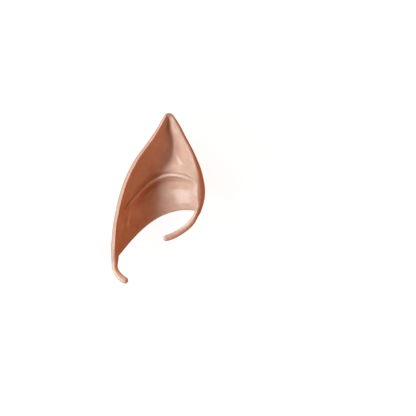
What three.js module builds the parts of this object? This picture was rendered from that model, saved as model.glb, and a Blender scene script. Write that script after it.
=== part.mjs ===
// A soft latex elf ear tip that slips over the top of an ear: one hollow moulding, lying on its back.
//
// X runs from the long helix edge to the short front edge, Y up to the pointed tip, and Z up from the
// surface that it lies on to the crests of its edges. The origin is the centre of its box, on that surface.
//
// Every cross-section is one closed loop of latex. It starts on the helix crest, crosses the hollow front
// of the ear to the front crest, and comes back under the ear to where it started. The pocket for the
// wearer's ear lies inside the loop. Towards the bottom the back is cut away, which opens the pocket, then
// the front ends at its cut edge, and only the two folded edges go on, as the front tail and the lobe hook.
import * as THREE from "three";

// Driving sizes, in millimetres
const EAR_LENGTH = 105; // from the tip to the end of the lobe hook
const EAR_WIDTH = 58; // from the helix edge to the front edge
const EAR_DEPTH = 26; // from the surface that it lies on to its highest crest
const WALL = 1.6; // the latex skin
const HELIX_LIP = 3.7; // the rounded fold along the helix, across its top
const FRONT_LIP = 5.6; // the wider fold along the front edge
const WELT_RADIUS = 1.1; // the raised welt that arches across the hollow of the ear
const WELT_HEIGHT = 1.5;
const TAIL_WIDTH = 4.1; // the front tail and the lobe hook, where they are widest
const TAIL_THICKNESS = 4.2;

// The sections, from the tip down to the cut edge of the front. X is a share of the width and Y of the
// length, both from the middle of the box. Crests, valley and belly are heights, as shares of the depth.
// The valley lies at "middle", a share of the way from lip to lip, and the section bows towards the tip
// by "bow" of the length. "Bowl" turns the sharp valley of the tip, 0, into the round bowl, 1, and the
// lips are shares of their full widths.
const SECTIONS = [
  { helixX: 0.092, helixY: 0.499, helixCrest: 0.42, frontX: 0.134, frontY: 0.499, frontCrest: 0.42,
    valley: 0.41, belly: 0.35, middle: 0.5, bow: 0, fullness: 1, bowl: 0, helixLip: 0.16, frontLip: 0.1 },
  { helixX: 0.063, helixY: 0.485, helixCrest: 0.48, frontX: 0.163, frontY: 0.485, frontCrest: 0.48,
    valley: 0.47, belly: 0.28, middle: 0.42, bow: 0, fullness: 1, bowl: 0, helixLip: 0.42, frontLip: 0.3 },
  { helixX: -0.008, helixY: 0.418, helixCrest: 0.57, frontX: 0.227, frontY: 0.426, frontCrest: 0.57,
    valley: 0.39, belly: 0.2, middle: 0.48, bow: 0.01, fullness: 1, bowl: 0, helixLip: 0.65, frontLip: 0.5 },
  { helixX: -0.121, helixY: 0.324, helixCrest: 0.68, frontX: 0.316, frontY: 0.339, frontCrest: 0.68,
    valley: 0.36, belly: 0.11, middle: 0.66, bow: 0.03, fullness: 1, bowl: 0, helixLip: 0.85, frontLip: 0.7 },
  { helixX: -0.266, helixY: 0.216, helixCrest: 0.8, frontX: 0.398, frontY: 0.251, frontCrest: 0.8,
    valley: 0.35, belly: 0.03, middle: 0.7, bow: 0.07, fullness: 1, bowl: 0.1, helixLip: 1, frontLip: 0.8 },
  { helixX: -0.394, helixY: 0.059, helixCrest: 0.92, frontX: 0.467, frontY: 0.152, frontCrest: 0.92,
    valley: 0.38, belly: 0, middle: 0.68, bow: 0.117, fullness: 1, bowl: 0.4, helixLip: 1, frontLip: 0.93 },
  { helixX: -0.477, helixY: -0.14, helixCrest: 1, frontX: 0.499, frontY: 0.062, frontCrest: 1,
    valley: 0.45, belly: 0, middle: 0.58, bow: 0.15, fullness: 1, bowl: 1, helixLip: 1, frontLip: 1 },
  { helixX: -0.501, helixY: -0.28, helixCrest: 0.92, frontX: 0.49, frontY: -0.011, frontCrest: 0.93,
    valley: 0.42, belly: 0.02, middle: 0.58, bow: 0.127, fullness: 0.93, bowl: 1,
    helixLip: 1.08, frontLip: 0.85 },
  { helixX: -0.499, helixY: -0.384, helixCrest: 0.72, frontX: 0.45, frontY: -0.083, frontCrest: 0.76,
    valley: 0.37, belly: 0.3, middle: 0.56, bow: 0.098, fullness: 0.86, bowl: 1,
    helixLip: 1.25, frontLip: 0.46 },
];

// The loop of a section. A point lies across the section by shares of the helix lip, of the floor between
// the lips and of the front lip. It drops from the crests by a share of the depth down to the valley, on
// the front, or down to the belly, on the back. "InX" and "inZ" are where the inside of the wall lies, in
// walls, and the folds are thicker than the skins. "Tip" and "bowl" are the two shapes that are mixed,
// both with the valley at 0.5.
const LOOP = [
  { place: "helix crest", helix: 0.84, tip: 0, bowl: 0, front: 0,
    tipDrop: 0, bowlDrop: 0, inX: 0.1, inZ: -3 },
  { place: "helix lip", helix: 1, tip: 0, bowl: 0, front: 0,
    tipDrop: 0.09, bowlDrop: 0.08, inX: 0.1, inZ: -2.4 },
  { place: "helix crease", helix: 1, tip: 0.05, bowl: 0.02, front: 0,
    tipDrop: 0.24, bowlDrop: 0.22, inX: -0.2, inZ: -1.3 },
  { place: "helix wall", helix: 1, tip: 0.2, bowl: 0.11, front: 0,
    tipDrop: 0.48, bowlDrop: 0.4, inX: -0.6, inZ: -0.8 },
  { place: "helix floor", helix: 1, tip: 0.4, bowl: 0.31, front: 0,
    tipDrop: 0.84, bowlDrop: 0.79, inX: -0.4, inZ: -0.9 },
  { place: "valley", helix: 1, tip: 0.5, bowl: 0.5, front: 0,
    tipDrop: 1, bowlDrop: 1, inX: 0, inZ: -1 },
  { place: "front floor", helix: 1, tip: 0.57, bowl: 0.64, front: 0,
    tipDrop: 0.88, bowlDrop: 0.88, inX: 0.4, inZ: -0.9 },
  { place: "front crease", helix: 1, tip: 0.68, bowl: 0.79, front: 0,
    tipDrop: 0.71, bowlDrop: 0.64, inX: 0.6, inZ: -0.8 },
  { place: "front wall", helix: 1, tip: 0.86, bowl: 0.93, front: 0,
    tipDrop: 0.33, bowlDrop: 0.34, inX: 0.7, inZ: -0.7 },
  { place: "front lip", helix: 1, tip: 1, bowl: 1, front: 0,
    tipDrop: 0.12, bowlDrop: 0.13, inX: 0.4, inZ: -1.5 },
  { place: "front crest", helix: 1, tip: 1, bowl: 1, front: 0.48,
    tipDrop: 0, bowlDrop: 0, inX: 0, inZ: -2.1 },
  { place: "front corner", helix: 1, tip: 1, bowl: 1, front: 0.88,
    tipDrop: 0.14, bowlDrop: 0.14, inX: -0.9, inZ: -1.6 },
  { place: "front edge", helix: 1, tip: 1, bowl: 1, front: 1,
    tipDrop: 0.42, bowlDrop: 0.42, inX: -1, inZ: 0 },
  { place: "front under", helix: 1, tip: 1, bowl: 1, front: 0.5,
    tipDrop: 0.8, bowlDrop: 0.8, inX: -0.8, inZ: 0.6 },
  { place: "front belly", helix: 1, tip: 0.74, bowl: 0.74, front: 0,
    tipDrop: 0.97, bowlDrop: 0.985, inX: -0.2, inZ: 1 },
  { place: "keel", helix: 1, tip: 0.5, bowl: 0.5, front: 0,
    tipDrop: 1, bowlDrop: 1, inX: 0, inZ: 1 },
  { place: "helix belly", helix: 1, tip: 0.27, bowl: 0.27, front: 0,
    tipDrop: 0.97, bowlDrop: 0.985, inX: 0.2, inZ: 1 },
  { place: "helix under", helix: 1, tip: 0.04, bowl: 0.02, front: 0,
    tipDrop: 0.76, bowlDrop: 0.76, inX: 0.8, inZ: 0.6 },
  { place: "helix edge", helix: 0, tip: 0, bowl: 0, front: 0,
    tipDrop: 0.42, bowlDrop: 0.36, inX: 1, inZ: 0 },
  { place: "helix corner", helix: 0.3, tip: 0, bowl: 0, front: 0,
    tipDrop: 0.09, bowlDrop: 0.085, inX: 0.85, inZ: -2.2 },
];

// The welt, across it and towards the cut edge: distances in welt radii, lifts in welt heights.
const WELT = [
  { away: -4.2, lift: 0 },
  { away: -2.7, lift: -0.3 },
  { away: -1.6, lift: -0.1 },
  { away: -0.8, lift: 0.75 },
  { away: 0, lift: 1 },
  { away: 0.8, lift: 0.6 },
  { away: 1.7, lift: -0.35 },
  { away: 3, lift: -0.7 },
  { away: 5.2, lift: -0.4 },
  { away: 8, lift: 0 },
];
const WELT_FADE = { helixStart: 0.06, helixFull: 0.2, frontFull: 0.84, frontEnd: 0.96 };

// The middle lines of the tails after the shell, in the shares of the sections, with their widths and
// thicknesses as shares of the full ones.
const FRONT_TAIL = [
  { x: 0.366, y: -0.13, z: 0.6, width: 0.95, thickness: 1 },
  { x: 0.318, y: -0.16, z: 0.6, width: 0.92, thickness: 0.95 },
  { x: 0.24, y: -0.192, z: 0.61, width: 0.96, thickness: 0.9 },
  { x: 0.15, y: -0.219, z: 0.625, width: 0.98, thickness: 0.85 },
  { x: 0.052, y: -0.236, z: 0.64, width: 0.88, thickness: 0.8 },
];
const LOBE_HOOK = [
  { x: -0.457, y: -0.41, z: 0.565, width: 0.95, thickness: 0.98 },
  { x: -0.442, y: -0.432, z: 0.58, width: 0.95, thickness: 0.95 },
  { x: -0.414, y: -0.452, z: 0.605, width: 1.04, thickness: 0.95 },
  { x: -0.378, y: -0.469, z: 0.635, width: 1.06, thickness: 0.95 },
  { x: -0.323, y: -0.485, z: 0.67, width: 1, thickness: 0.9 },
];

// Where things start and stop, as shares of the way down the sections
const LAST_SECTION = SECTIONS.length - 1;
const CAVITY_TOP = 2.5 / LAST_SECTION;
const WELT_LINE = 6 / LAST_SECTION;
const MOUTH_TOP = 6.9 / LAST_SECTION;

// How the bow of a section leans towards the front edge
const BOW_SKEW = 1.4;

// Fineness of the faces
const COLUMN_STEPS = 3; // columns between two points of the loop
const TIP_ROWS = 4; // rows down to the second section
const UPPER_ROWS = 16; // from there to the welt
const POCKET_ROWS = 2; // from the welt to the mouth
const MOUTH_ROWS = 5; // from the mouth to the cut edge
const TAIL_ROW_LENGTH = 1.8;

const COLUMNS = LOOP.length * COLUMN_STEPS;
const columnOf = (place) => LOOP.findIndex((point) => point.place === place) * COLUMN_STEPS;
const FRONT_CREST = columnOf("front crest");
const WEB_COLUMNS = 2; // beside the helix lip, that the lobe hook takes along and then narrows away
const HELIX_CUT = columnOf("helix lip") + WEB_COLUMNS;
const FRONT_CUT = columnOf("front lip");
const FRONT_UNDER = columnOf("front under");
const HELIX_UNDER = columnOf("helix under");

const { lerp, smoothstep, degToRad } = THREE.MathUtils;

// A smooth curve through three columns of a table. It is read by a share of the way along the table.
function through(table, columns, type = "catmullrom") {
  const points = table.map((row) => new THREE.Vector3(...columns.map((column) => row[column])));
  return new THREE.CatmullRomCurve3(points, false, type, 0.5);
}

const helixEdge = through(SECTIONS, ["helixX", "helixY", "helixCrest"], "centripetal");
const frontEdge = through(SECTIONS, ["frontX", "frontY", "frontCrest"], "centripetal");
const heightsAndBow = through(SECTIONS, ["valley", "belly", "bow"]);
const shapes = through(SECTIONS, ["fullness", "bowl", "middle"]);
const lips = through(SECTIONS, ["helixLip", "frontLip", "bow"]);
const EAR_SIZE = new THREE.Vector3(EAR_WIDTH, EAR_LENGTH, EAR_DEPTH);

// The section at a share of the way down, in millimetres
function sectionAt(share) {
  const helix = helixEdge.getPoint(share).multiply(EAR_SIZE);
  const front = frontEdge.getPoint(share).multiply(EAR_SIZE);
  const heights = heightsAndBow.getPoint(share);
  const shape = shapes.getPoint(share);
  const lipShares = lips.getPoint(share);
  const chord = new THREE.Vector2(front.x - helix.x, front.y - helix.y);
  return {
    helix,
    front,
    width: chord.length(),
    across: chord.clone().normalize(),
    valley: heights.x * EAR_DEPTH,
    belly: heights.y * EAR_DEPTH,
    bow: heights.z * EAR_LENGTH,
    fullness: shape.x,
    bowl: THREE.MathUtils.clamp(shape.y, 0, 1),
    middle: shape.z,
    helixLip: lipShares.x * HELIX_LIP,
    frontLip: lipShares.y * FRONT_LIP,
  };
}

// How far a section bows towards the tip, at a share of its width
function bowAt(section, share) {
  const leaning = THREE.MathUtils.clamp(share, 0, 1) ** BOW_SKEW;
  return section.bow * (4 * leaning * (1 - leaning)) ** section.fullness;
}

// How much longer the bowed section is than its chord, near a share of its width
function stretchAt(section, share) {
  const reach = 0.01;
  const rise = bowAt(section, share + reach) - bowAt(section, share - reach);
  return Math.hypot(1, rise / (2 * reach * section.width));
}

// The loop point on the outside of the wall, as a distance across the section and a height
function outsidePoint(section, point) {
  const floor = section.width - section.helixLip - section.frontLip;
  const fromHelix = lerp(point.tip, point.bowl, section.bowl);
  const floorShare = fromHelix < 0.5
    ? 2 * fromHelix * section.middle
    : 1 - 2 * (1 - fromHelix) * (1 - section.middle);
  const across = point.helix * section.helixLip + floorShare * floor + point.front * section.frontLip;
  const crest = lerp(section.helix.z, section.front.z, across / section.width);
  const onFront = LOOP.indexOf(point) * COLUMN_STEPS <= FRONT_CREST;
  const bottom = onFront ? section.valley : section.belly;
  const drop = lerp(point.tipDrop, point.bowlDrop, section.bowl);
  return new THREE.Vector3(across, 0, lerp(crest, bottom, drop));
}

// The same point on the inside of the wall
function insidePoint(section, point) {
  const outside = outsidePoint(section, point);
  const stretch = stretchAt(section, outside.x / section.width);
  return outside.add(new THREE.Vector3((point.inX * WALL) / stretch, 0, point.inZ * WALL));
}

// How far the welt lifts the front skin, in a row that lies a distance from it
function weltLift(lift, share) {
  const { helixStart, helixFull, frontFull, frontEnd } = WELT_FADE;
  const shown = smoothstep(share, helixStart, helixFull) - smoothstep(share, frontFull, frontEnd);
  return lift * WELT_HEIGHT * shown;
}

// One row of points round a section
function rowOf({ share, lift = 0 }, pointOf) {
  const section = sectionAt(share);
  const loop = new THREE.CatmullRomCurve3(
    LOOP.map((point) => pointOf(section, point)), true, "catmullrom", 0.5);
  const toTip = new THREE.Vector2(-section.across.y, section.across.x);
  return Array.from({ length: COLUMNS }, (_, column) => {
    const { x: distance, z: height } = loop.getPoint(column / COLUMNS);
    const bow = bowAt(section, distance / section.width);
    const onSkin = pointOf === outsidePoint && column <= FRONT_CREST;
    return new THREE.Vector3(
      section.helix.x + section.across.x * distance + toTip.x * bow,
      section.helix.y + section.across.y * distance + toTip.y * bow,
      height + (onSkin ? weltLift(lift, distance / section.width) : 0),
    );
  });
}

const steps = (from, to, count) =>
  Array.from({ length: count }, (_, i) => ({ share: lerp(from, to, i / count) }));

// The rows down the shell, close together at the welt
function shellRows() {
  const apart = sectionMiddle(WELT_LINE).distanceTo(sectionMiddle(WELT_LINE + 0.01)) / 0.01;
  const welt = WELT.map(({ away, lift }) => ({ share: WELT_LINE + (away * WELT_RADIUS) / apart, lift }));
  const second = 1 / LAST_SECTION;
  return [
    ...steps(0, second, TIP_ROWS),
    ...steps(second, welt[0].share, UPPER_ROWS),
    ...welt.slice(0, -1),
    ...steps(welt.at(-1).share, MOUTH_TOP, POCKET_ROWS),
    ...steps(MOUTH_TOP, 1, MOUTH_ROWS),
    { share: 1 },
  ];
}

// The middle of a section, in the plane of the ear
function sectionMiddle(share) {
  const section = sectionAt(share);
  const bow = bowAt(section, 0.5);
  return new THREE.Vector2(
    section.helix.x + (section.across.x * section.width) / 2 - section.across.y * bow,
    section.helix.y + (section.across.y * section.width) / 2 + section.across.x * bow,
  );
}

// The rows of a tail. Each starts as the folded edge that the shell ends in, and turns into a rounded bar.
function tailRows(table, outsideEdge, insideEdge, side) {
  const TURN_LENGTH = 7.5; // over which the fold turns into the bar
  const ROUND_END = 0.9; // length of the rounded end, in half widths
  const EDGE_ANGLE = degToRad(12); // of the bar, that the cut edges of the fold turn into
  const OPEN_SIDE = degToRad(-120); // of the fold, from its outer side
  const ring = [...outsideEdge.slice(0, -WEB_COLUMNS), ...insideEdge.slice(0, -WEB_COLUMNS)];
  const middle = ring.reduce((sum, p) => sum.add(p), new THREE.Vector3()).divideScalar(ring.length);
  const points = table.map((row) => new THREE.Vector3(row.x, row.y, row.z).multiply(EAR_SIZE));
  const path = new THREE.CatmullRomCurve3([middle, ...points], false, "centripetal");
  const sizes = through([table[0], ...table], ["width", "thickness", "x"]);
  const length = path.getLength();
  const roundEnd = (ROUND_END * TAIL_WIDTH) / 2;
  const straight = Math.round((length - roundEnd) / TAIL_ROW_LENGTH);
  const distances = [
    ...Array.from({ length: straight }, (_, i) => ((i + 1) * (length - roundEnd)) / straight),
    ...[0.45, 0.78, 1].map((share) => length - roundEnd * (1 - share)),
  ];
  const frameAt = (share) => {
    const along = path.getTangentAt(share);
    const up = new THREE.Vector3(0, 0, 1).addScaledVector(along, -along.z).normalize();
    return { at: path.getPointAt(share), along, up, out: along.clone().cross(up).multiplyScalar(side) };
  };
  const first = frameAt(0);
  const angleOf = (point) => {
    const from = point.clone().sub(middle);
    const angle = Math.atan2(from.dot(first.up), from.dot(first.out));
    return angle < OPEN_SIDE ? angle + 2 * Math.PI : angle;
  };
  const outsideAngles = outsideEdge.map(angleOf);
  const [lipAngle, underAngle] = side > 0
    ? [outsideAngles.at(-1), outsideAngles[0]]
    : [outsideAngles[0], outsideAngles.at(-1)];
  const insideAngles = insideEdge.map((_, i) => {
    const share = i / (insideEdge.length - 1);
    const fromUnder = side > 0 ? share : 1 - share;
    return lerp(underAngle + 2 * Math.PI - EDGE_ANGLE, lipAngle + EDGE_ANGLE, fromUnder);
  });
  const rowAt = (edge, angles, distance) => {
    const evenAngle = (i) => lerp(angles[0], angles.at(-1), i / (edge.length - 1));
    const frame = frameAt(distance / length);
    const size = sizes.getPoint(distance / length);
    const intoEnd = THREE.MathUtils.clamp((distance - (length - roundEnd)) / roundEnd, 0, 1);
    const rounding = Math.max(0.3, Math.sqrt(1 - intoEnd ** 2));
    const slowly = smoothstep(distance, 0, TURN_LENGTH);
    const atOnce = 1 - (1 - Math.min(distance / TURN_LENGTH, 1)) ** 2;
    return edge.map((point, i) => {
      const from = point.clone().sub(middle);
      const share = i / (edge.length - 1);
      const turned = lerp(slowly, atOnce, (side > 0 ? share : 1 - share) ** 2);
      const angle = lerp(angles[i], evenAngle(i), smoothstep(distance, 0, 2 * TURN_LENGTH));
      const out = (size.x * TAIL_WIDTH * Math.cos(angle)) / 2;
      const up = (size.y * TAIL_THICKNESS * Math.sin(angle)) / 2;
      return frame.at.clone()
        .addScaledVector(frame.out, rounding * lerp(from.dot(first.out), out, turned))
        .addScaledVector(frame.up, rounding * lerp(from.dot(first.up), up, turned))
        .addScaledVector(frame.along, lerp(from.dot(first.along), 0, turned));
    });
  };
  return {
    outside: [outsideEdge, ...distances.map((distance) => rowAt(outsideEdge, outsideAngles, distance))],
    inside: [insideEdge, ...distances.map((distance) => rowAt(insideEdge, insideAngles, distance))],
  };
}

// A closed mesh that grows by strips between rows of points. A point that is used twice is shared.
class Skin {
  positions = [];
  indices = [];
  known = new Map();

  vertex(point) {
    if (!this.known.has(point)) {
      this.known.set(point, this.positions.length / 3);
      this.positions.push(point.x, point.y, point.z);
    }
    return this.known.get(point);
  }

  triangle(a, b, c) {
    if (a !== b && b !== c && c !== a) this.indices.push(this.vertex(a), this.vertex(b), this.vertex(c));
  }

  // The strip between two rows of as many points, facing left of the way from row to row
  strip(row, next) {
    for (let i = 0; i + 1 < row.length; i += 1) {
      this.triangle(row[i], next[i], next[i + 1]);
      this.triangle(row[i], next[i + 1], row[i + 1]);
    }
  }

  sheet(rows) {
    for (let i = 0; i + 1 < rows.length; i += 1) this.strip(rows[i], rows[i + 1]);
  }

  geometry() {
    const made = new THREE.BufferGeometry();
    made.setAttribute("position", new THREE.Float32BufferAttribute(this.positions, 3));
    made.setIndex(this.indices);
    made.computeVertexNormals();
    return made;
  }
}

const closedRow = (row) => [...row, row[0]];
const backwards = (rows) => rows.map((row) => [...row].reverse());
const between = (row, from, to) =>
  Array.from({ length: to - from + 1 }, (_, i) => row[(from + i) % COLUMNS]);
const columnDown = (rows, at) => rows.map((row) => row.at(at));

// The front and the back of a closed row, both from the helix crest to the front crest
const halvesOf = (row) => [between(row, 0, FRONT_CREST), between(row, FRONT_CREST, COLUMNS).reverse()];

function earGeometry() {
  const rows = shellRows();
  const outside = rows.map((row) => rowOf(row, outsidePoint));
  const inside = rows.map((row) => rowOf(row, insidePoint));
  const cavityTop = rows.findIndex((row) => row.share >= CAVITY_TOP);
  const mouthTop = rows.findIndex((row) => row.share >= MOUTH_TOP);
  const last = rows.length - 1;
  const skin = new Skin();

  // The shell down to the mouth, closed at the tip, and its hollow
  skin.sheet(outside.slice(0, mouthTop + 1).map(closedRow));
  skin.sheet(backwards(inside.slice(cavityTop, mouthTop + 1).map(closedRow)));
  const [tipFront, tipBack] = halvesOf(outside[0]);
  skin.strip(tipBack, tipFront);
  const [hollowFront, hollowBack] = halvesOf(inside[cavityTop]);
  skin.strip(hollowFront, hollowBack);

  // The cut edge of the back, where the mouth starts
  skin.strip(
    between(outside[mouthTop], FRONT_UNDER, HELIX_UNDER),
    between(inside[mouthTop], FRONT_UNDER, HELIX_UNDER),
  );

  // The front beside the mouth, down to its cut edge
  const openRow = (row) => between(row, HELIX_UNDER, COLUMNS + FRONT_UNDER);
  addOpenBand(skin, outside.slice(mouthTop).map(openRow), inside.slice(mouthTop).map(openRow));
  skin.strip(
    between(outside[last], HELIX_CUT, FRONT_CUT),
    between(inside[last], HELIX_CUT, FRONT_CUT),
  );

  // The two folds that go on as tails
  const tails = [
    { table: LOBE_HOOK, from: HELIX_UNDER, to: COLUMNS + HELIX_CUT, side: 1 },
    { table: FRONT_TAIL, from: FRONT_CUT, to: FRONT_UNDER, side: -1 },
  ];
  for (const { table, from, to, side } of tails) {
    const tail = tailRows(table, between(outside[last], from, to), between(inside[last], from, to), side);
    addOpenBand(skin, tail.outside, tail.inside);
    skin.strip(tail.outside.at(-1), tail.inside.at(-1));
  }
  return toSize(skin.geometry());
}

// Brings the finished shell to its exact overall size, centred over the surface that it lies on
function toSize(geometry) {
  geometry.computeBoundingBox();
  const size = geometry.boundingBox.getSize(new THREE.Vector3());
  geometry.scale(EAR_WIDTH / size.x, EAR_LENGTH / size.y, EAR_DEPTH / size.z);
  geometry.computeBoundingBox();
  const centre = geometry.boundingBox.getCenter(new THREE.Vector3());
  return geometry.translate(-centre.x, -centre.y, -geometry.boundingBox.min.z);
}

// A band of wall with an outside, an inside and two long edges
function addOpenBand(skin, outside, inside) {
  skin.sheet(outside);
  skin.sheet(backwards(inside));
  skin.strip(columnDown(outside, 0), columnDown(inside, 0));
  skin.strip(columnDown(inside, -1), columnDown(outside, -1));
}

const latex = new THREE.MeshStandardMaterial({ color: 0xdca98f, roughness: 0.45, metalness: 0 });
const ear = new THREE.Group();
const shell = new THREE.Mesh(earGeometry(), latex);
shell.name = "ear_shell";
ear.add(shell);

export default ear;
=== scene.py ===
"""The looks of a slip-on elf ear tip of moulded latex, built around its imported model."""

import math

import bmesh
import bpy
from bpy.props import (
    FloatProperty,
    FloatVectorProperty,
    IntProperty,
    PointerProperty,
)
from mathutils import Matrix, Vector, noise
from mathutils.bvhtree import BVHTree
from mathutils.geometry import intersect_point_line


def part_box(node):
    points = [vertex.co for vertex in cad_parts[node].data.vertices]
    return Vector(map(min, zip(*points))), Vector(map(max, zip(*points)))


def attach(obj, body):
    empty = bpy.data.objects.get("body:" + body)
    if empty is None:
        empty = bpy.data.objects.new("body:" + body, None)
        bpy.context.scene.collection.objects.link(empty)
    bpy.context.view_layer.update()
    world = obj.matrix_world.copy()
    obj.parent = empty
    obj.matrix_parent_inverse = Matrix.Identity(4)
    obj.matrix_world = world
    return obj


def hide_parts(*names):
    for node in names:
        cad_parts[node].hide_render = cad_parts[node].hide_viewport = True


bl_info = {
    "name": "Elf ear tip",
    "version": (1, 0, 0),
    "blender": (4, 5, 0),
    "location": "View3D > Sidebar > Ear tip",
    "description": "Moulded latex ear tip with its floor, lights and camera",
    "category": "Add Mesh",
}

MM = 0.001

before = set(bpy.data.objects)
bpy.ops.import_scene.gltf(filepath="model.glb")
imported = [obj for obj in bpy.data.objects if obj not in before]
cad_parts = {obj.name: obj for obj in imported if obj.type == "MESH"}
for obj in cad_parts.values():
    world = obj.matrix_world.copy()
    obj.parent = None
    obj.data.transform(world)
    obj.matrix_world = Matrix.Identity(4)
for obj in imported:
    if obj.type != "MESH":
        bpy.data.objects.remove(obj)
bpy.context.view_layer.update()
EAR_LOW, EAR_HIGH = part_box("ear_shell")

# Low relief that the mould gives the hollow front, finer than the solid has it. Each line has its
# points as X and Y from the middle of the ear tip, its height and its width, in millimetres. A line
# fades away over the given share of its length at each end, and one below the skin has a height under 0.
RELIEF = (
    {
        "name": "welt crest",
        "points": (
            (-18.8, -7.5), (-18.0, -4.9), (-14.2, 0.2), (-10.1, 4.9), (-5.6, 8.7), (-0.7, 11.8),
            (3.8, 13.8), (7.9, 14.4), (12.0, 14.1), (16.6, 13.2), (21.1, 11.3),
        ),
        "height": 0.55, "width": 1.3, "fade": 0.12,
    },
    {
        "name": "groove above the welt",
        "points": (
            (-18.6, -1.6), (-16.0, 2.2), (-12.0, 6.7), (-7.2, 10.8), (-2.0, 14.1), (3.2, 16.2),
            (7.9, 16.9), (12.5, 16.6),
        ),
        "height": -0.4, "width": 1.0, "fade": 0.2,
    },
    {
        "name": "groove below the welt",
        "points": (
            (-15.0, -6.5), (-12.2, -1.6), (-8.4, 2.8), (-4.2, 6.5), (0.4, 9.5), (4.4, 11.3),
            (7.9, 11.9), (11.6, 11.6), (15.4, 10.8), (19.5, 9.0),
        ),
        "height": -0.5, "width": 1.5, "fade": 0.15,
    },
    {
        "name": "fold below the welt",
        "points": ((-16.2, -4.5), (-17.4, -8.5), (-18.6, -13.0), (-19.1, -17.5), (-18.8, -22.0)),
        "height": 0.7, "width": 1.0, "fade": 0.35,
    },
    {
        "name": "fold beside the valley",
        "points": (
            (8.6, 47.0), (10.1, 40.8), (10.6, 34.7), (10.7, 29.6), (11.4, 26.2), (12.6, 22.8),
            (13.9, 20.0), (15.0, 17.6),
        ),
        "height": 0.65, "width": 1.1, "fade": 0.12,
    },
    {
        "name": "front crest",
        "points": (
            (8.2, 50.6), (12.0, 44.9), (16.6, 35.8), (21.0, 26.6), (24.8, 15.8), (26.5, 6.5),
            (26.5, -1.2), (24.0, -8.4),
        ),
        "height": 0.65, "width": 1.1, "fade": 0.06,
    },
    {
        "name": "bead along the cut edge",
        "points": ((6.0, -5.6), (10.0, -3.8), (14.0, -2.8), (18.0, -3.0), (21.5, -4.6)),
        "height": 0.12, "width": 1.2, "fade": 0.3,
    },
    {
        "name": "cap of the tip",
        "points": ((5.0, 51.0), (6.6, 49.6)),
        "height": 0.4, "width": 1.8, "fade": 0.01,
    },
)
RELIEF_REACH = 2.5  # widths from a line, beyond which it no longer shows
FACES_UP = 0.1  # the least upward part of the normal of skin that takes relief
CLEAR_OF_SKIN = 0.2 * MM  # how far above the skin the look upwards starts

# The middle lines of the front tail and the lobe hook, which are drawn paler with painted light, in
# millimetres
TAILS = (
    ((24.6, -7.5), (21.2, -13.7), (18.4, -16.8), (13.9, -20.2), (8.7, -23.0), (3.0, -24.8)),
    ((-27.0, -38.0), (-26.5, -43.0), (-25.6, -45.4), (-24.0, -47.5), (-21.9, -49.2), (-18.7, -50.9)),
)
TAIL_REACH = 7.0  # how far from its middle line a tail is paler
TAIL_TOP = -7.0  # no tail lies above this Y
TAIL_PAINTED_LIGHT = 1.3  # at the middle line, on the scale of the folds
TAIL_START = 3  # a tail reaches its full paleness after one part in this many of its length

# The fold attribute also steers where highlight and shade are painted: paler on the folded edges and
# tails, browner beside the folds
FOLD_SHADING = "folds"  # the attribute of how far the skin stands out of what is around it
FOLD_PASSES = 30  # rounds of smoothing that even the folds out
FOLD_DEPTH = 0.5 * MM  # a crest this high counts as 1

WELD = 0.002 * MM
FLOOR_SIZE = 3.0
LAMP_DISTANCE = 1.6
LAMP_TARGET = Vector((0, 0, 12 * MM))

# Where the ear tip lies in the photograph, a square of this many pixels
PHOTO_SIDE = 416
MM_PER_PIXEL = 0.615
EAR_CENTRE_PIXEL = (158.1, 198.4)


def srgb(code):
    """A linear colour from a hex code such as #dca98f."""
    values = [int(code[i : i + 2], 16) / 255 for i in (1, 3, 5)]
    linear = [v / 12.92 if v <= 0.04045 else ((v + 0.055) / 1.055) ** 2.4 for v in values]
    return (*linear, 1.0)


def add_node(tree, kind, settings=None, links=None):
    """Adds a shader node, with its settings, its socket values and the links into it."""
    node = tree.nodes.new(kind)
    for name, value in (settings or {}).items():
        if hasattr(node, name):
            setattr(node, name, value)
        else:
            node.inputs[name].default_value = value
    for name, source in (links or {}).items():
        tree.links.new(source, node.inputs[name])
    return node


def colour_property(name, description, code):
    """A colour that the panel shows, from its hex code."""
    return FloatVectorProperty(
        name=name,
        description=description,
        default=srgb(code),
        size=4,
        min=0,
        max=1,
        subtype="COLOR",
    )


class EarTipSizes(bpy.types.PropertyGroup):
    rounding: IntProperty(
        name="Rounding",
        description="Levels of rounding on the moulded skin",
        default=2,
        min=0,
        max=3,
    )
    unevenness: FloatProperty(
        name="Unevenness",
        description="How far the cured skin swells or sinks",
        default=0.15 * MM,
        min=0,
        max=1 * MM,
        unit="LENGTH",
    )
    waves: FloatProperty(
        name="Waves",
        description="How long the swellings of the cured skin are",
        default=8 * MM,
        min=2 * MM,
        max=30 * MM,
        unit="LENGTH",
    )
    pore: FloatProperty(
        name="Pore",
        description="Distance between the pores of the skin",
        default=1.1 * MM,
        min=0.2 * MM,
        max=5 * MM,
        unit="LENGTH",
    )


class EarTipColours(bpy.types.PropertyGroup):
    skin: colour_property("Skin", "The pigment of the latex", "#dcc6b5")
    flush: colour_property("Flush", "The redder patches of the latex", "#d6b1a0")
    # The crest colour is painted highlight on the folded edges, welt and tails, and the crease colour
    # painted shade beside the folds
    crest_highlight: colour_property("Crests", "The paler folded edges, welt and tails", "#eee0d4")
    shaded_creases: colour_property("Creases", "The browner creases beside the folds", "#cf9578")
    floor: colour_property("Floor", "The floor that the ear tip lies on", "#fafafa")


def new_material(name):
    """A material with an empty node tree."""
    material = bpy.data.materials.new(name)
    material.use_nodes = True
    material.node_tree.nodes.clear()
    return material


def add_noise(tree, place, size, detail, roughness, distortion=0.0):
    """Noise in real size, about as far across as the given length."""
    settings = {"Scale": 1 / size, "Detail": detail, "Roughness": roughness}
    settings["Distortion"] = distortion
    return add_node(tree, "ShaderNodeTexNoise", settings, {"Vector": place}).outputs["Fac"]


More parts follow.
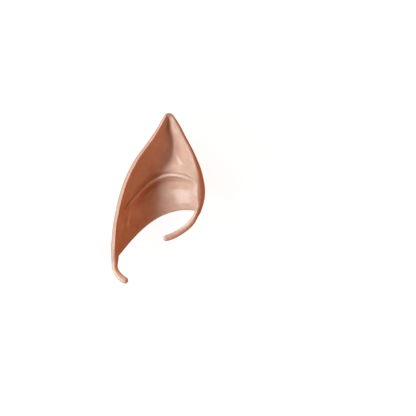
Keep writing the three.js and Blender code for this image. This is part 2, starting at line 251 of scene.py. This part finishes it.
def add_range(tree, value, from_min, from_max, to_min, to_max):
    """Maps one range of a value to another, and holds it at the ends."""
    settings = {"From Min": from_min, "From Max": from_max, "To Min": to_min, "To Max": to_max}
    return add_node(tree, "ShaderNodeMapRange", settings, {"Value": value}).outputs["Result"]


def moulded_latex(name, colours, sizes):
    """Pigmented natural latex, slush moulded: faintly blotched, with painted highlight and shade on its
    folds, and the soft sheen of its seal coat.
    """
    material = new_material(name)
    tree = material.node_tree
    place = add_node(tree, "ShaderNodeTexCoord").outputs["Object"]
    # Cloudy blotches where the pigment has settled, about 9 mm across, and finer mottling
    clouds = add_noise(tree, place, 9 * MM, 3.0, 0.6, 0.6)
    mottling = add_noise(tree, place, 2.5 * MM, 4.0, 0.65)
    # Painted highlight makes the folded edges and tails paler, and painted shade makes the hollows
    # beside the folds browner
    folds = add_node(tree, "ShaderNodeAttribute", {"attribute_name": FOLD_SHADING}).outputs["Fac"]
    tint_and_painted_light = colours.skin
    for colour, share in (
        (colours.flush, add_range(tree, clouds, 0.35, 0.72, 0.0, 0.75)),
        # painted highlight, paler on the folded edges and tails
        (colours.crest_highlight, add_range(tree, folds, 0.1, 1.0, 0.0, 0.9)),
        # painted shade, browner beside the folds
        (colours.shaded_creases, add_range(tree, folds, -0.1, -1.0, 0.0, 0.7)),
    ):
        # Sockets 0, 6 and 7 of a colour mix are its share and its two colours
        blend = add_node(tree, "ShaderNodeMix", {"data_type": "RGBA"})
        if isinstance(tint_and_painted_light, bpy.types.NodeSocket):
            tree.links.new(tint_and_painted_light, blend.inputs[6])
        else:
            blend.inputs[6].default_value = tint_and_painted_light
        blend.inputs[7].default_value = colour
        tree.links.new(share, blend.inputs[0])
        tint_and_painted_light = blend.outputs[2]
    speck = add_range(tree, mottling, 0.3, 0.7, 0.93, 1.05)
    # The base colour carries the painted highlight and painted shade as well as the pigment
    pigment = add_node(tree, "ShaderNodeVectorMath", {"operation": "SCALE"})
    tree.links.new(tint_and_painted_light, pigment.inputs[0])
    tree.links.new(speck, pigment.inputs["Scale"])
    # The pores of the mould, drawn coarser than the real ones so that they show
    grained = add_node(
        tree,
        "ShaderNodeBump",
        {"Strength": 0.12, "Distance": 0.2 * MM},
        {"Height": add_noise(tree, place, sizes.pore, 4.0, 0.6)},
    )
    # The skin sets slightly uneven, in waves about 5 mm long
    uneven = add_node(
        tree,
        "ShaderNodeBump",
        {"Strength": 0.2, "Distance": 0.5 * MM},
        {"Height": add_noise(tree, place, 5 * MM, 1.0, 0.4), "Normal": grained.outputs["Normal"]},
    )
    shader = add_node(
        tree,
        "ShaderNodeBsdfPrincipled",
        {
            "IOR": 1.5,
            "Specular IOR Level": 0.25,
            "Subsurface Weight": 0.3,
            "Subsurface Radius": (1.5, 0.6, 0.35),
            "Subsurface Scale": MM,
            "Coat Weight": 0.4,
            "Coat Roughness": 0.2,
        },
        {
            "Base Color": pigment.outputs[0],
            "Roughness": add_range(tree, mottling, 0.3, 0.7, 0.4, 0.52),
            "Normal": uneven.outputs["Normal"],
        },
    )
    add_node(tree, "ShaderNodeOutputMaterial", {}, {"Surface": shader.outputs[0]})
    return material


def opal_acrylic(name, colour):
    """Cast opal acrylic sheet, lit from below, on which shadows all but vanish."""
    material = new_material(name)
    tree = material.node_tree
    shader = add_node(
        tree,
        "ShaderNodeBsdfPrincipled",
        {
            "Base Color": srgb("#8a8a8a"),
            "Roughness": 0.6,
            "Emission Color": colour,
            "Emission Strength": 0.97,
        },
    )
    add_node(tree, "ShaderNodeOutputMaterial", {}, {"Surface": shader.outputs[0]})
    return material


def piece_from(bm, name, material):
    """Makes a smooth object of one material from a mesh in work, and frees that."""
    mesh = bpy.data.meshes.new(name)
    bm.to_mesh(mesh)
    bm.free()
    mesh.materials.append(material)
    for face in mesh.polygons:
        face.use_smooth = True
    piece = bpy.data.objects.new(name, mesh)
    bpy.context.scene.collection.objects.link(piece)
    return piece


def nearest_on(points, place):
    """The distance from a place to a line of points in plan, and the share of the way along it."""
    lengths = [(b - a).length for a, b in zip(points, points[1:])]
    best = (math.inf, 0.0)
    done = 0.0
    for a, b, length in zip(points, points[1:], lengths):
        foot, share = intersect_point_line(place, a, b)
        share = min(max(share, 0.0), 1.0)
        gap = (place - a.lerp(b, share)).length
        if gap < best[0]:
            best = (gap, (done + share * length) / sum(lengths))
        done += length
    return best


def press_relief(bm, lines):
    """Moves the skin that shows from above out or in along each line, and lets the rest be."""
    bm.normal_update()
    tree = BVHTree.FromBMesh(bm)
    above = Vector((0, 0, 1))
    moves = {}
    for line in lines:
        points = [Vector((x * MM, y * MM, 0)) for x, y in line["points"]]
        width = line["width"] * MM
        reach = RELIEF_REACH * width
        low = [min(p[axis] for p in points) - reach for axis in (0, 1)]
        high = [max(p[axis] for p in points) + reach for axis in (0, 1)]
        for vert in bm.verts:
            x, y, z = vert.co
            if not (low[0] < x < high[0] and low[1] < y < high[1]) or vert.normal.z < FACES_UP:
                continue
            gap, share = nearest_on(points, Vector((x, y, 0)))
            if gap > reach or tree.ray_cast(vert.co + above * CLEAR_OF_SKIN, above)[0]:
                continue
            ends = min(min(share, 1 - share) / line["fade"], 1.0)
            fade = ends**2 * (3 - 2 * ends)
            rise = line["height"] * MM * math.exp(-((gap / width) ** 2)) * fade
            moves[vert] = moves.get(vert, 0.0) + rise
    for vert, rise in moves.items():
        vert.co += vert.normal * rise


def uneven_skin(bm, depth, length):
    """Latex shrinks a little unevenly as it cures, which leaves long shallow waves in the skin."""
    bm.normal_update()
    pushes = [noise.noise(vert.co / length) * depth for vert in bm.verts]
    for vert, push in zip(bm.verts, pushes):
        vert.co += vert.normal * push


def mark_fold_shading(bm):
    """Stores how far each point stands out of the skin around it, and lifts the value on the tails, to
    steer the painted highlight and painted shade.
    """
    bm.normal_update()
    even = bm.copy()
    for _ in range(FOLD_PASSES):
        bmesh.ops.smooth_vert(
            even,
            verts=even.verts,
            factor=0.5,
            use_axis_x=True,
            use_axis_y=True,
            use_axis_z=True,
        )
    layer = bm.verts.layers.float.new(FOLD_SHADING)
    tails = [[Vector((x * MM, y * MM, 0)) for x, y in tail] for tail in TAILS]
    for vert, level in zip(bm.verts, even.verts):
        fold = (vert.co - level.co).dot(vert.normal) / FOLD_DEPTH
        if vert.co.y < TAIL_TOP * MM:
            place = Vector((vert.co.x, vert.co.y, 0))
            for tail in tails:
                gap, share = nearest_on(tail, place)
                near = max(0.0, 1 - gap / (TAIL_REACH * MM))
                # The tails get painted light, paler towards their middle lines
                fold += TAIL_PAINTED_LIGHT * near * min(1.0, share * TAIL_START)
        vert[layer] = fold
    even.free()


class EARTIP_OT_skin(bpy.types.Operator):
    """Dress the ear tip in its moulded latex skin"""

    bl_idname = "eartip.skin"
    bl_label = "Latex skin"

    def execute(self, context):
        sizes = context.scene.ear_tip_sizes
        colours = context.scene.ear_tip_colours
        bm = bmesh.new()
        bm.from_mesh(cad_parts["ear_shell"].data)
        bmesh.ops.remove_doubles(bm, verts=bm.verts, dist=WELD)
        bmesh.ops.join_triangles(
            bm,
            faces=bm.faces,
            angle_face_threshold=math.radians(60),
            angle_shape_threshold=math.radians(80),
        )
        latex = moulded_latex("moulded_latex", colours, sizes)
        skin = piece_from(bm, "latex_skin", latex)
        rounding = skin.modifiers.new("rounding", "SUBSURF")
        rounding.levels = sizes.rounding
        rounding.render_levels = sizes.rounding
        rounded = skin.evaluated_get(context.evaluated_depsgraph_get())
        bm = bmesh.new()
        bm.from_mesh(rounded.data)
        skin.modifiers.clear()
        press_relief(bm, RELIEF)
        uneven_skin(bm, sizes.unevenness, sizes.waves)
        mark_fold_shading(bm)
        bm.to_mesh(skin.data)
        bm.free()
        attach(skin, "root")
        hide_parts("ear_shell")
        return {"FINISHED"}


def soft_box(name, azimuth, height, side, power, colour):
    """A square studio lamp, by its compass angle from +Y, clockwise, and its height in degrees."""
    lamp = bpy.data.lights.new(name, "AREA")
    lamp.shape = "SQUARE"
    lamp.size = side
    lamp.energy = power
    lamp.color = srgb(colour)[:3]
    thing = bpy.data.objects.new(name, lamp)
    bpy.context.scene.collection.objects.link(thing)
    a, e = math.radians(azimuth), math.radians(height)
    away = Vector((math.sin(a) * math.cos(e), math.cos(a) * math.cos(e), math.sin(e)))
    thing.location = away * LAMP_DISTANCE
    thing.rotation_euler = (LAMP_TARGET - thing.location).to_track_quat("-Z", "Y").to_euler()


class EARTIP_OT_stage(bpy.types.Operator):
    """Set the floor, the lights and the camera"""

    bl_idname = "eartip.stage"
    bl_label = "Studio"

    def execute(self, context):
        colours = context.scene.ear_tip_colours
        scene = context.scene
        scene.view_settings.view_transform = "Standard"
        bm = bmesh.new()
        bmesh.ops.create_grid(bm, x_segments=1, y_segments=1, size=FLOOR_SIZE)
        bmesh.ops.translate(bm, verts=bm.verts, vec=(0, 0, EAR_LOW[2]))
        floor = piece_from(bm, "floor", opal_acrylic("opal_acrylic", colours.floor))
        # Only the camera sees the floor, so that it doesn't whiten the warm shadows
        floor.visible_diffuse = False
        floor.visible_glossy = False

        soft_box("left_box", -115, 24, 0.7, 17.5, "#ffffff")
        soft_box("upper_left_box", -42, 15, 0.6, 14.0, "#ffffff")
        soft_box("warm_reflector", 80, 22, 1.2, 8.0, "#ff9870")

        world = bpy.data.worlds.new("studio")
        scene.world = world
        world.use_nodes = True
        tree = world.node_tree
        tree.nodes.clear()
        ray = add_node(tree, "ShaderNodeLightPath")
        # A warm room lights the ear tip, and the camera sees white behind it
        warm = add_node(tree, "ShaderNodeBackground", {"Color": srgb("#ffa26e"), "Strength": 0.25})
        white = add_node(tree, "ShaderNodeBackground", {"Color": colours.floor, "Strength": 1.0})
        mix = add_node(tree, "ShaderNodeMixShader")
        tree.links.new(ray.outputs["Is Camera Ray"], mix.inputs[0])
        tree.links.new(warm.outputs[0], mix.inputs[1])
        tree.links.new(white.outputs[0], mix.inputs[2])
        add_node(tree, "ShaderNodeOutputWorld", {}, {"Surface": mix.outputs[0]})

        camera_data = bpy.data.cameras.new("camera")
        camera_data.lens = 350
        camera_data.sensor_width = 36
        camera = bpy.data.objects.new("camera", camera_data)
        scene.collection.objects.link(camera)
        scene.camera = camera
        across = (PHOTO_SIDE / 2 - EAR_CENTRE_PIXEL[0]) * MM_PER_PIXEL * MM
        along = (EAR_CENTRE_PIXEL[1] - PHOTO_SIDE / 2) * MM_PER_PIXEL * MM
        view_width = PHOTO_SIDE * MM_PER_PIXEL * MM
        distance = view_width * camera_data.lens / camera_data.sensor_width
        mid_height = (EAR_LOW[2] + EAR_HIGH[2]) / 2
        camera.location = (across, along, mid_height + distance)
        camera.rotation_euler = (0, 0, 0)
        camera_data.clip_end = 10
        return {"FINISHED"}


class EARTIP_PT_panel(bpy.types.Panel):
    """Lists the pieces and their sizes"""

    bl_label = "Ear tip"
    bl_idname = "EARTIP_PT_panel"
    bl_space_type = "VIEW_3D"
    bl_region_type = "UI"
    bl_category = "Ear tip"

    def draw(self, context):
        layout = self.layout
        for group in (context.scene.ear_tip_sizes, context.scene.ear_tip_colours):
            for name in group.bl_rna.properties.keys():
                if name not in ("rna_type", "name"):
                    layout.prop(group, name)
        for operator in (EARTIP_OT_skin, EARTIP_OT_stage):
            layout.operator(operator.bl_idname)


CLASSES = (EarTipSizes, EarTipColours, EARTIP_OT_skin, EARTIP_OT_stage, EARTIP_PT_panel)


def register():
    for cls in CLASSES:
        bpy.utils.register_class(cls)
    bpy.types.Scene.ear_tip_sizes = PointerProperty(type=EarTipSizes)
    bpy.types.Scene.ear_tip_colours = PointerProperty(type=EarTipColours)


def unregister():
    del bpy.types.Scene.ear_tip_colours
    del bpy.types.Scene.ear_tip_sizes
    for cls in reversed(CLASSES):
        bpy.utils.unregister_class(cls)


def main():
    register()
    bpy.ops.eartip.skin()
    bpy.ops.eartip.stage()


if __name__ == "__main__":
    main()
